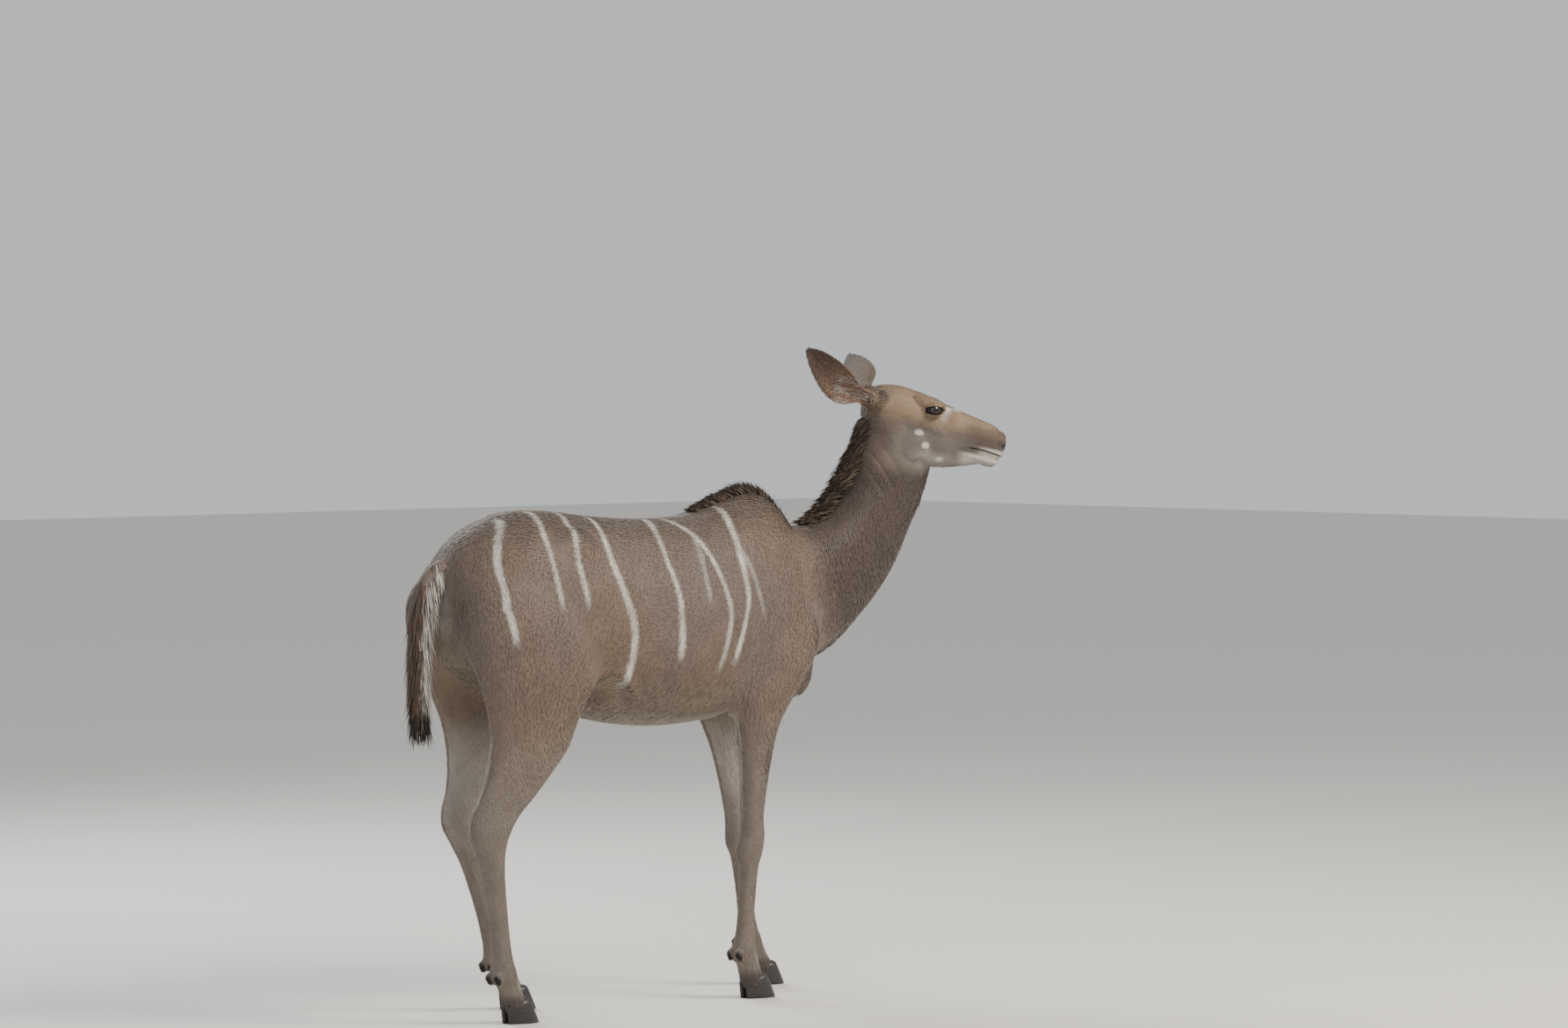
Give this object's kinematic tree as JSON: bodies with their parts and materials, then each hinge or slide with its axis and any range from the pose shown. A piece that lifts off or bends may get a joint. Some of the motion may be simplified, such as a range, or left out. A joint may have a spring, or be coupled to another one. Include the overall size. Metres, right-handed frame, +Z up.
{
  "type": "greater kudu cow, standing model",
  "caption": "Life-size still model of a female greater kudu that stands with her neck raised and her head turned to her right.",
  "frame": {"origin": "centre of the bounding box, on the floor that the hooves stand on", "axes": "+X the way the body faces, +Y the cow's left, +Z up"},
  "size_m": [1.732, 0.4588, 1.5442],
  "materials": {
    "coat": "short grey-brown hair with thin white body stripes, darker along the nape and back",
    "eye": "dark brown, wet gloss",
    "horn": "black hoof horn, worn satin"
  },
  "bodies": {
    "root": {"ear_left": "coat", "ear_right": "coat", "eye_left": "eye", "eye_right": "eye", "foreleg_left": "coat", "foreleg_right": "coat", "head": "coat", "hindleg_left": "coat", "hindleg_right": "coat", "hoof_fore_left_inner": "horn", "hoof_fore_left_outer": "horn", "hoof_fore_right_inner": "horn", "hoof_fore_right_outer": "horn", "hoof_hind_left_inner": "horn", "hoof_hind_left_outer": "horn", "hoof_hind_right_inner": "horn", "hoof_hind_right_outer": "horn", "neck": "coat", "tail": "coat", "torso": "coat"}
  },
  "joints": []
}
